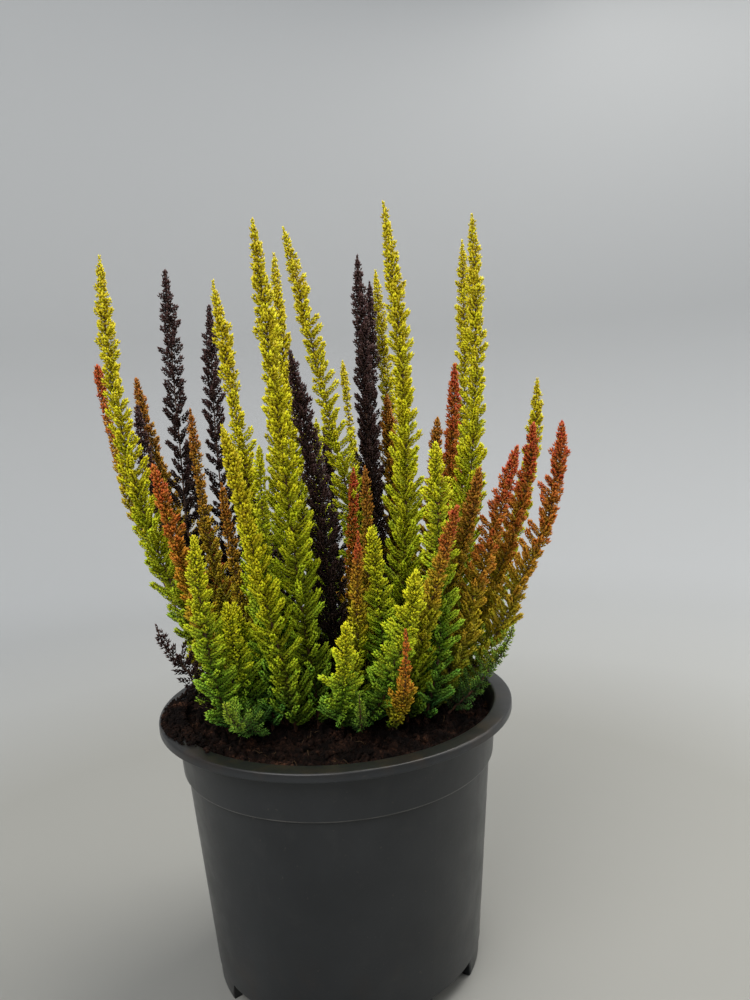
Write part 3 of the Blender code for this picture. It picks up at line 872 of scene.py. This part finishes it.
# %% Habits of growth
# Distances are in mm and angles in degrees. stalk is the bare share of a long sprig, core how far
# the leaves' feet stand from its middle, girth and fullness scale the foliage's half width, skirt
# widens its foot, and uneven is how much the sprigs' lengths differ.
Habit = namedtuple(
    "Habit",
    "tip_gap upper_gap lower_gap stalk leaf_gap leaf_length leaf_width leaf_angle core low_angle"
    " high_angle girth fullness skirt uneven",
)
HABITS = {
    "gold": Habit(0.95, 2.1, 2.9, 0, 0.6, 2.4, 2.05, 21, 0.68, 60, 32, 1.1, 1.2, 9, 0.18),
    "bush": Habit(0.95, 2.3, 2.8, 0, 0.59, 2.25, 1.85, 22, 0.68, 68, 46, 1.5, 1.6, 11, 0.22),
    "green": Habit(0.95, 2.1, 2.9, 0, 0.6, 2.3, 1.95, 22, 0.68, 64, 38, 1.15, 1.2, 10, 0.2),
    "red": Habit(0.95, 2.1, 2.9, 0, 0.6, 2.5, 2.1, 22, 0.7, 62, 38, 1.25, 1.5, 10, 0.2),
    "slim_red": Habit(0.95, 2.3, 3.2, 0, 0.63, 2.3, 1.85, 23, 0.65, 54, 30, 1, 1.2, 3, 0.22),
    "bare_red": Habit(0.95, 2.2, 3.2, 0, 0.63, 2.5, 2.1, 23, 0.7, 54, 30, 1.9, 1.2, -9, 0.2),
    "open_dark": Habit(1, 2.1, 4, 0.15, 0.67, 2.3, 2, 23, 0.65, 58, 38, 1.3, 1.3, 6, 0.26),
    "dense_dark": Habit(0.95, 2, 3.1, 0, 0.67, 2.4, 2, 23, 0.65, 54, 30, 1.15, 1.2, 9, 0.26),
    "dark_spray": Habit(1.1, 2.8, 4, 0.1, 0.72, 2.3, 1.4, 34, 0.3, 72, 50, 1.8, 1.8, 14, 0.35),
    "spray": Habit(1, 2.2, 2.8, 0, 0.68, 2.2, 0.95, 50, 0, 70, 46, 1.4, 1.5, 11, 0.3),
    "low_spray": Habit(1, 2.4, 3, 0, 0.68, 2.1, 0.95, 50, 0, 64, 40, 0.9, 1, 3, 0.3),
}


def each_shoot(kinds, shoots_of):
    """Every shoot's habit or colour: its kind's own, except for the shoots that are listed."""
    table = {node: kinds[node.split("_")[1]] for node in shoot_nodes}
    for choice, shoots in shoots_of.items():
        table.update({"shoot_" + shoot: choice for shoot in shoots.split()})
    return table


SHOOT_HABIT = each_shoot(
    {"gold": "gold", "green": "green", "dark": "open_dark", "red": "red"},
    {
        "bush": "gold_10 gold_11 green_05 green_06 green_07 green_08 green_09",
        "slim_red": "red_04 red_05 red_08 red_09 red_17 red_20",
        "bare_red": "red_01",
        "dense_dark": "dark_03 dark_04 dark_05 dark_07 dark_10",
        "dark_spray": "dark_08",
        "spray": "green_11 green_12",
        "low_spray": "green_13",
    },
)
print(dict(Counter(SHOOT_HABIT.values())))

# %% [markdown]
# ## Growing a shoot
# The growth goes from the stem outwards: first the places of the sprig pairs, closer together at
# the young tip, then each sprig's length, from the solid's reach at that height, then the leaves
# along all the sprigs at once. A sprig starts outwards, curves up and turns a little to the sky.

# %% The stem, and where the pairs of sprigs stand on it
BARE_FOOT = 4.5 * MM
YOUNGEST_PAIR = 0.4 * MM
GAP_PLACES = [3 * MM, 26 * MM, 90 * MM]
PAIR_TURN = 1.09
TURN_SCATTER = 0.22
PLACE_SCATTER, TIP_SCATTER = 0.35 * MM, 0.05
Stem = namedtuple("Stem", "line along way bare length")


def carried(values, along, places):
    """Values known along a line, read off at other places."""
    return np.stack([np.interp(places, along, values[:, i]) for i in range(3)], axis=-1)


def stem_of(line):
    """The line with its lengths from the foot, its direction, and the length in the soil."""
    steps = np.linalg.norm(np.diff(line, axis=0), axis=1)
    along = np.concatenate([[0], np.cumsum(steps)])
    soil = float(soil_height(line[:1, 0], line[:1, 1])[0])
    way = np.gradient(line, along, axis=0)
    return Stem(line, along, way, np.interp(soil, line[:, 2], along), along[-1])


def pair_places(length, habit):
    """Distances along the stem, with gaps that grow from the tip downwards.

    The number of pairs below a point is the sum of 1 / gap, so the places are where that sum
    passes whole numbers.
    """
    fine = np.linspace(BARE_FOOT, length - YOUNGEST_PAIR, 500)
    gaps = [habit.tip_gap, habit.upper_gap, habit.lower_gap]
    gap = MM * np.interp(length - fine, GAP_PLACES, gaps)
    passed = np.concatenate([[0], np.cumsum(np.diff(fine) / gap[1:])])
    return np.interp(np.arange(0, passed[-1]), passed, fine)


def sprig_places(stem, habit, chance):
    """Each sprig's place along the stem, its pair's distance below the tip, and its turn.

    A pair stands a little over a quarter turn on from the one below, its sprigs half a turn
    apart, and each sprig a little off.
    """
    places = stem.bare + pair_places(stem.length - stem.bare, habit)
    pairs = len(places)
    turn = pi / 2 * np.arange(pairs) * PAIR_TURN + chance.uniform(0, tau)
    turn = turn[:, None] + [0, pi] + chance.normal(0, TURN_SCATTER, (pairs, 2))
    places = np.repeat(places, 2)
    below_tip = stem.length - places
    scatter = np.minimum(PLACE_SCATTER, TIP_SCATTER * below_tip)
    places = places + chance.normal(0, 1, 2 * pairs) * scatter
    return np.clip(places, stem.bare + BARE_FOOT, stem.length), below_tip, turn.ravel()


print("pairs on a stem of 200 mm:", len(pair_places(200 * MM, HABITS["gold"])))

# %% How far the foliage reaches from the stem
# How far below the tip the foliage has which half width, in mm, on a long shoot.
CONE_BELOW_TIP = [0, 13, 26, 43, 75, 106, 130, 160, 200]
CONE_HALF_WIDTH = [1.6, 3, 4.1, 4.8, 5.5, 6.4, 8.6, 12.6, 16]
LONG_SHOOT = 210 * MM
SHORT_SHOOT_POWER = 0.8
# The share of the habit's skirt at shares of the stem above the soil.
SKIRT_PLACES, SKIRT_SHARES = [0, 0.08, 0.3, 0.6], [0.8, 1, 0.8, 0]


def foliage_half_width(below_tip, share, reach, habit):
    """A slim cone at the tip, the solid's reach further down, and a skirt of long low sprigs.

    The cone of a short shoot is that of a long one, shrunk by (length / long length) ** 0.8.
    """
    grown = below_tip * max(1, LONG_SHOOT / below_tip.max()) ** SHORT_SHOOT_POWER
    cone = MM * habit.girth * np.interp(grown / MM, CONE_BELOW_TIP, CONE_HALF_WIDTH)
    skirt = MM * habit.skirt * np.interp(share, SKIRT_PLACES, SKIRT_SHARES)
    return np.minimum(cone, habit.fullness * reach + skirt)


print(f"foliage half widths: {CONE_HALF_WIDTH} mm")

# %% Sprigs along the stem
LEAF_BEYOND_SPRIG = 1.8 * MM
LONGEST_SPRIG = 12.5 * MM
SHORTEST_SPRIG = 0.2 * MM
UPWARD_PULL, PULL_DEPTH = 0.45, 30 * MM
LEAN_EFFECT, LEAN_LIMITS = 0.95, (0.3, 1.8)
RIPPLE, RIPPLE_LENGTH = 0.2, 1.05 * MM
# How much of its low angle a sprig has at these distances below the tip.
OPENING_PLACES, OPENING_SHARES = [0, 5 * MM, 20 * MM], [0.12, 0.5, 1]
Sprigs = namedtuple("Sprigs", "start up out length low high share")


def sprig_lengths(wanted, below_tip, places, habit, lean, chance):
    """The half width less the leaves' own reach, over the sine of the mean angle, made uneven.

    Sprigs differ at random and in soft ripples up the stem, and are longer on the upper side of a
    leaning stem. None is longer than half its distance below the tip.
    """
    lumps = 1 + habit.uneven * chance.uniform(-1, 1, len(wanted))
    lumps += RIPPLE * np.sin(places / RIPPLE_LENGTH + chance.uniform(0, tau))
    lumps *= np.clip(1 + LEAN_EFFECT * lean, *LEAN_LIMITS)
    slant = sin(radians(0.5 * (habit.low_angle + habit.high_angle)))
    length = np.clip(wanted - LEAF_BEYOND_SPRIG, 0, None) / slant * lumps
    longest = LONGEST_SPRIG * chance.uniform(0.75, 1.1, len(wanted))
    return np.clip(np.minimum(np.minimum(length, 0.5 * below_tip), longest), SHORTEST_SPRIG, None)


def sprigs_of(stem, reach, habit, chance):
    """Every sprig's start, ways, length, angles and share of the stem above the soil."""
    places, below_tip, turn = sprig_places(stem, habit, chance)
    way = carried(stem.way, stem.along, places)
    pull = UPWARD_PULL * np.clip(below_tip / PULL_DEPTH, 0, 1)[:, None]
    up = unit(way * (1 - pull) + pull * SKY)
    across = square_to(up)
    out = turned(across, np.cross(up, across), turn)
    way = unit(way)
    lean = np.einsum("ij,ij->i", out, SKY - way * way[:, 2:])
    share = (places - stem.bare) / (stem.length - stem.bare)
    reach = np.interp(places, stem.along, reach)
    wanted = foliage_half_width(below_tip, share, reach, habit)
    length = sprig_lengths(wanted, below_tip, places, habit, lean, chance)
    low = np.radians(habit.low_angle + chance.normal(0, 5, len(places)))
    low *= np.interp(below_tip, OPENING_PLACES, OPENING_SHARES)
    high = np.radians(habit.high_angle + chance.normal(0, 4, len(places)))
    start = carried(stem.line, stem.along, places)
    return Sprigs(start, up, out, length, low, np.minimum(high, 0.9 * low), share)


def along_sprigs(sprigs, which, distance):
    """Place, direction and outer side of points on the sprigs.

    The lean changes evenly along a sprig, so the way up is the integral of its cosine and the
    way out the integral of its sine.
    """
    low, rate = sprigs.low[which], ((sprigs.high - sprigs.low) / sprigs.length)[which]
    lean = low + rate * distance
    up, out = sprigs.up[which], sprigs.out[which]
    climbed = ((np.sin(lean) - np.sin(low)) / rate)[:, None]
    left = ((np.cos(low) - np.cos(lean)) / rate)[:, None]
    place = sprigs.start[which] + up * climbed + out * left
    return place, turned(up, out, lean), turned(out, -up, lean)


print(f"longest sprig {LONGEST_SPRIG / MM} mm")


# %% A single leaf and a single twig
def leaf_shape():
    """A small pointed leaf along +X: two corners at its foot, a keel raised to +Z, and the tip."""
    points = np.array([(0.12, 0.5, -0.05), (0.12, -0.5, -0.05), (0.38, 0, 0.5), (1, 0, 0.05)])
    corners = np.array([0, 1, 3, 0, 2, 1, 0, 3, 2, 1, 2, 3])
    square = np.array([(0, 0.1), (1, 0.1), (0.5, 0.4), (0.5, 1)])
    return outward(Surface(points, corners, np.full(4, 3), square[corners]))


def twig_shape():
    """A three-sided spike along +X."""
    points = np.array([(0, -0.87, -0.5), (0, 0.87, -0.5), (0, 0, 1), (1, 0, 0)], float)
    corners = np.array([0, 1, 2, 0, 3, 1, 1, 3, 2, 2, 3, 0])
    flat = np.tile([(0, 0), (1, 0), (0.5, 1)], (4, 1)).astype(float)
    return outward(Surface(points, corners, np.full(4, 3), flat))


LEAF, TWIG = leaf_shape(), twig_shape()
print(f"one leaf has {len(LEAF.sizes)} faces, and one twig {len(TWIG.sizes)}")

# %% Leaves along the sprigs
FULL_STALK_SPRIG = 6 * MM
LEAF_TURN_SCATTER = 0.2
LEAF_ANGLE_SCATTER = 6
END_LEAF_ANGLE = 0.06
LONE_LEAF_AGE = 0.7
LEAF_DEPTH = 0.85
# The size of the leaves at shares of the stem above the soil.
SIZE_PLACES, SIZES_UP = [0, 0.85, 1], [1, 0.95, 0.74]


def leaves_of(sprigs, habit, chance):
    """Opposite leaves in pairs along every sprig, each pair a quarter turn on, and one end leaf.

    young runs from 0 at a sprig's foot to 1 at its end, where the leaves are smaller and lean in.
    The shortest sprigs are a lone leaf.
    """
    bare = habit.stalk * np.clip(sprigs.length / FULL_STALK_SPRIG, 0, 1)
    pairs = np.floor((1 - bare) * sprigs.length / (habit.leaf_gap * MM)).astype(int)
    count = 2 * pairs + 1
    which = np.repeat(np.arange(len(count)), count)
    order = np.arange(len(which)) - np.repeat(starts_of(count), count)
    pair = order // 2
    end_leaf = order == 2 * pairs[which]
    young = np.where(end_leaf, 1, (pair + 0.6) / (pairs[which] + 0.1))
    lone = end_leaf & (pairs[which] == 0)
    distance = (bare[which] + (1 - bare[which]) * young) * sprigs.length[which]
    place, direction, outer = along_sprigs(sprigs, which, np.where(lone, 0, distance))
    turn = pi / 2 * pair + pi * (order % 2)
    turn = turn + chance.normal(0, LEAF_TURN_SCATTER, len(which))
    radial = turned(outer, np.cross(direction, outer), turn)
    angle = np.radians(habit.leaf_angle + chance.normal(0, LEAF_ANGLE_SCATTER, len(which)))
    angle = np.where(end_leaf, END_LEAF_ANGLE, angle * (1.15 - 0.35 * young))
    ahead, keel = turned(direction, radial, angle), turned(radial, -direction, angle)
    foot = np.where(end_leaf, 0, habit.core * MM * (1 - 0.3 * young))
    size = MM * np.interp(sprigs.share[which], SIZE_PLACES, SIZES_UP)
    size = size * (1.05 - 0.1 * young) * chance.uniform(0.85, 1.15, len(which))
    length, width = (habit.leaf_length * size)[:, None], (habit.leaf_width * size)[:, None]
    axes = np.stack([ahead * length, np.cross(keel, ahead) * width, keel * LEAF_DEPTH * width], 1)
    place = place + radial * foot[:, None]
    return set_down(LEAF, place, axes), which, np.where(lone, LONE_LEAF_AGE, young)


print("longest leaf", max(habit.leaf_length for habit in HABITS.values()), "mm")

# %% [markdown]
# ## Leaf colours
# A shoot's colour runs from green at its shaded foot to the clear colour of its tip. On a sprig the
# leaves at its end are the brightest; those at its foot, inside the foliage, are darker, partly a
# deeper green of their own and partly painted shade. A leaf's own foot is darkened with painted
# shade, and each leaf differs a little from its neighbour. The pieces carry these four things as
# point values, which the finish turns into colour with two ramps and two blends.

# %% Foliage colours, from the foot of a shoot to its tip
OUTER_PLACES, INNER_PLACES = (0, 0.3, 0.6, 0.9), (0, 0.4, 0.9)
# Each heather's four colours of outer leaves, and then three of inner leaves, which are darker:
# partly a deeper green, partly painted shade.
FOLIAGE = {
    "gold": [(108, 148, 40), (172, 186, 28), (202, 194, 22), (202, 187, 32)]
    + [(62, 90, 26), (138, 144, 18), (178, 160, 20)],
    "lime": [(98, 154, 60), (150, 188, 50), (194, 204, 34), (208, 202, 30)]
    + [(48, 86, 40), (100, 134, 30), (154, 156, 22)],
    "fresh_green": [(88, 136, 70), (116, 162, 66), (146, 180, 56), (174, 194, 52)]
    + [(46, 80, 48), (70, 108, 46), (108, 134, 40)],
    "deep_green": [(70, 108, 54), (92, 130, 50), (118, 150, 44), (146, 166, 42)]
    + [(38, 62, 38), (56, 84, 34), (80, 104, 32)],
    "olive": [(118, 146, 38), (166, 156, 28), (170, 132, 30), (160, 100, 34)]
    + [(64, 78, 22), (112, 104, 20), (122, 86, 24)],
    "orange": [(118, 152, 40), (184, 168, 30), (194, 128, 36), (186, 92, 40)]
    + [(70, 84, 24), (136, 116, 22), (148, 94, 28)],
    "brick": [(130, 162, 46), (190, 168, 36), (190, 112, 40), (174, 74, 40)]
    + [(86, 108, 32), (154, 136, 28), (156, 90, 34)],
    "red_tipped": [(104, 142, 40), (164, 176, 28), (188, 168, 30), (176, 78, 40)]
    + [(62, 90, 26), (128, 132, 18), (150, 92, 34)],
    "plum": [(26, 18, 13), (38, 25, 20), (54, 35, 32), (72, 49, 47)]
    + [(18, 12, 9), (28, 18, 15), (42, 27, 25)],
}
SHOOT_COLOUR = each_shoot(
    {"gold": "gold", "green": "lime", "dark": "plum", "red": "brick"},
    {
        "gold": "green_01 green_03 green_04",
        "lime": "gold_10 gold_11",
        "fresh_green": "green_12",
        "deep_green": "green_11 green_13",
        "olive": "red_02 red_04 red_05 red_07 red_08 red_11 red_15",
        "orange": "red_03 red_17",
        "red_tipped": "red_01 red_16 red_20",
    },
)
print(dict(Counter(SHOOT_COLOUR.values())))

# %% Finishes of leaves and bark
PATCH_SIZE, PATCH_SHIFT = 9 * MM, 0.1
HUE_RANGE, LIGHT_RANGE = (0.487, 0.513), (0.87, 1.11)
BARK = [(0.3, (44, 27, 19)), (0.7, (92, 57, 35))]


def leaf_finish(name):
    """Blends two ramps by the place on the sprig and on the leaf, then varies each leaf."""
    finish, tree, shader = new_finish(name + "_leaves")

    def value(key):
        return add(tree, "Attribute", attribute_name=key).outputs["Fac"]

    patches = noise(tree, PATCH_SIZE, detail=2)
    patches = scaled(tree, patches, 0.3, 0.7, -PATCH_SHIFT, PATCH_SHIFT)
    share = reckoned(tree, "ADD", value("up_the_shoot"), patches)
    outer_colour = ramp(tree, share, list(zip(OUTER_PLACES, FOLIAGE[name][:4])))
    inner_colour = ramp(tree, share, list(zip(INNER_PLACES, FOLIAGE[name][4:])))
    # Leaves near a sprig's foot take the darker inner colours, partly painted shade.
    outwards = scaled(tree, value("out_the_sprig"), 0.1, 0.85, 0, 1)
    colour = blended(tree, outwards, inner_colour, outer_colour)
    # Painted shade: each leaf's own foot is blended towards the darker inner colour.
    leaf_foot_shade = scaled(tree, value("up_the_leaf"), 0.1, 0.7, 0.3, 0)
    colour = blended(tree, leaf_foot_shade, colour, inner_colour)
    hue = scaled(tree, value("chance"), 0, 1, *HUE_RANGE)
    light = scaled(tree, value("chance"), 0, 1, *LIGHT_RANGE)
    varied = add(tree, "HueSaturation", {"Hue": hue, "Value": light, "Color": colour})
    sockets = {"Roughness": 0.6, "Specular IOR Level": MATT}
    filled(tree, shader, {"Base Color": varied.outputs["Color"], **sockets})
    return finish


def bark_finish():
    """Thin reddish bark, streaked along the stem."""
    finish, tree, shader = new_finish("stem_bark")
    streaks = noise(tree, 1.2 * MM, detail=4, stretch=(1, 1, 0.25))
    sockets = {"Normal": bumps(tree, streaks, 0.5, 0.1 * MM), "Roughness": 0.7}
    filled(tree, shader, {"Base Color": ramp(tree, streaks, BARK), **sockets})
    return finish


leaf_finishes = {name: leaf_finish(name) for name in FOLIAGE}
bark = bark_finish()
print(f"{len(leaf_finishes)} colours of leaves, and bark")

# %% One leafy shoot
# The stem's radius in mm at shares of its length, from inside the soil to the tip.
STEM_PLACES, STEM_RADII = [0, 0.12, 0.35, 1], [0.95, 0.85, 0.5, 0.22]
STEM_SIDES = 6
TWIG_FROM, TWIG_SHARE, TWIG_RADIUS = 2.2 * MM, 0.85, 0.32 * MM
NEITHER = 0.5


def twigs_of(sprigs):
    """A spike inside every sprig that is long enough to show its wood."""
    long = np.flatnonzero(sprigs.length > TWIG_FROM)
    start = sprigs.start[long]
    end, _, _ = along_sprigs(sprigs, long, TWIG_SHARE * sprigs.length[long])
    run = end - start
    side = unit(np.cross(run, sprigs.up[long]))
    back = unit(np.cross(side, run))
    return set_down(TWIG, start, np.stack([run, TWIG_RADIUS * side, -TWIG_RADIUS * back], axis=1))


def leafy_shoot(node, number):
    """Grows one shoot's leaves, stem and twigs, and counts its leaves and triangles."""
    habit, chance = HABITS[SHOOT_HABIT[node]], np.random.default_rng(1000 + number)
    line = lines[node]
    sprigs = sprigs_of(stem_of(line), leaf_reach(corner_points(node), line), habit, chance)
    leaves, which, young = leaves_of(sprigs, habit, chance)
    radii = MM * np.interp(np.linspace(0, 1, len(line)), STEM_PLACES, STEM_RADII)
    parts = [leaves, tube(line, radii, STEM_SIDES), twigs_of(sprigs)]
    wood = np.full(len(parts[1].points) + len(parts[2].points), NEITHER)

    def for_points(leaf_values):
        return np.concatenate([np.repeat(leaf_values, len(LEAF.points)), wood])

    values = {
        "up_the_shoot": for_points(sprigs.share[which]),
        "out_the_sprig": for_points(young),
        "chance": for_points(chance.random(len(which))),
        "up_the_leaf": np.concatenate([np.tile(LEAF.points[:, 0], len(which)), 0 * wood]),
    }
    slots = np.repeat([0, 1, 1], [len(p.sizes) for p in parts])
    form = on_strips(parts, [0, 0.9, 0.96, 1])
    finishes = [leaf_finishes[SHOOT_COLOUR[node]], bark]
    piece = made_object(node.replace("shoot", "leafy_shoot"), form, finishes, slots, values)
    stands_for(piece, node)
    return len(which), int((form.sizes - 2).sum())


counts = np.array([leafy_shoot(node, number) for number, node in enumerate(shoot_nodes)])
print(f"{counts[:, 0].sum()} leaves, {counts[:, 1].sum()} triangles in the shoots")
print(f"the largest shoot has {counts[:, 1].max()} triangles")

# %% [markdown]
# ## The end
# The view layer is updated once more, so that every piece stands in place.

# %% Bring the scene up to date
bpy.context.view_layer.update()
